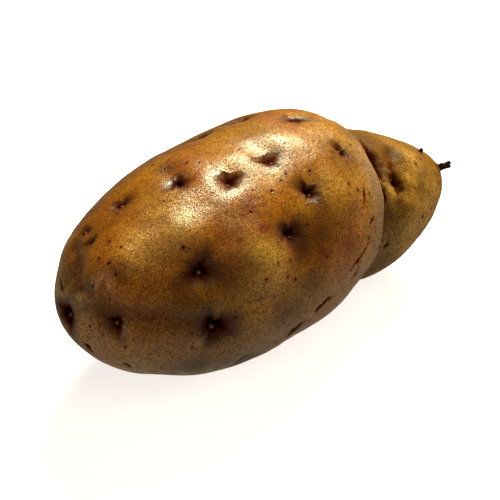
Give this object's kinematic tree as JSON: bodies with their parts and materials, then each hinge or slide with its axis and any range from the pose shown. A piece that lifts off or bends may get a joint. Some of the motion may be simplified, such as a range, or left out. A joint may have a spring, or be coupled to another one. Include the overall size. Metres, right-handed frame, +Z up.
{
  "type": "potato",
  "caption": "Whole washed potato, oblong, with a knob at its stolon end, eyes in soft hollows and the dried stub of the stolon it grew on.",
  "frame": {"origin": "on the small flat spot of the belly that the tuber rests on, under its centre of mass", "axes": "+X along the tuber from its rose end to its stolon end, +Z up from the surface it rests on"},
  "size_m": [0.1498, 0.0711, 0.0658],
  "materials": {
    "potato_skin": "washed potato skin: golden ochre to brown, fine dark lenticels, russet netting and dark eye pits, waxy gloss",
    "dry_stem": "dried stolon and root, brown-black, wrinkled along its length, matt"
  },
  "bodies": {
    "root": {"tuber": "potato_skin", "stolon_stub": "dry_stem", "root_stub_1": "dry_stem", "root_stub_2": "dry_stem"}
  },
  "joints": []
}
